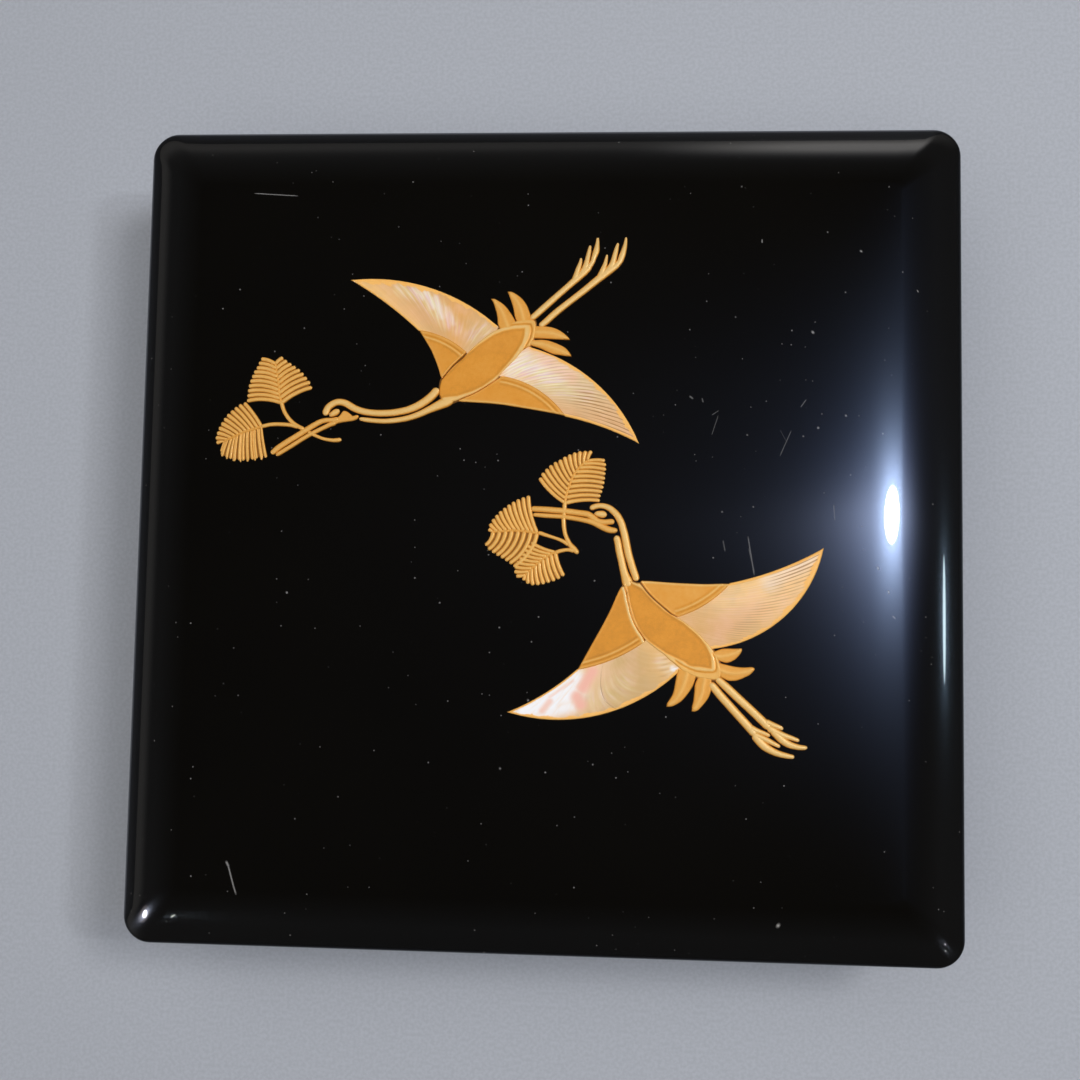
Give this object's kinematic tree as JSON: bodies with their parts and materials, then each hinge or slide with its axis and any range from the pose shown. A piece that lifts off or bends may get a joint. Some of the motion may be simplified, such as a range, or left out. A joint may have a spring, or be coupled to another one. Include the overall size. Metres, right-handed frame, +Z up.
{
  "type": "lacquer box",
  "caption": "Square black lacquer box with a lift-off lid: rounded mitred shoulders, flying cranes with pine in raised gold and mother-of-pearl, hollow and empty inside.",
  "frame": {"origin": "middle of the underside, on the surface that the box stands on", "axes": "+Z up through the lid; +Y away from the viewer, towards the side that the upper crane's legs point to; +X to the viewer's right"},
  "size_m": [0.24, 0.24, 0.0665],
  "materials": {
    "lacquer_body": "polished black lacquer over wood",
    "lacquer_lid": "mirror-polished black lacquer over wood, with fine rubbing marks",
    "gold": "satin gold dust over raised lacquer, burnished on the edges",
    "shell": "polished mother-of-pearl with engraved feather lines"
  },
  "bodies": {
    "root": {"box_body": "lacquer_body", "lid": "lacquer_lid", "upper_crane_left_wing_shell": "shell", "upper_crane_right_wing_shell": "shell", "lower_crane_right_wing_shell": "shell", "lower_crane_left_wing_shell_tip": "shell", "lower_crane_left_wing_shell_root": "shell"}
  },
  "joints": []
}
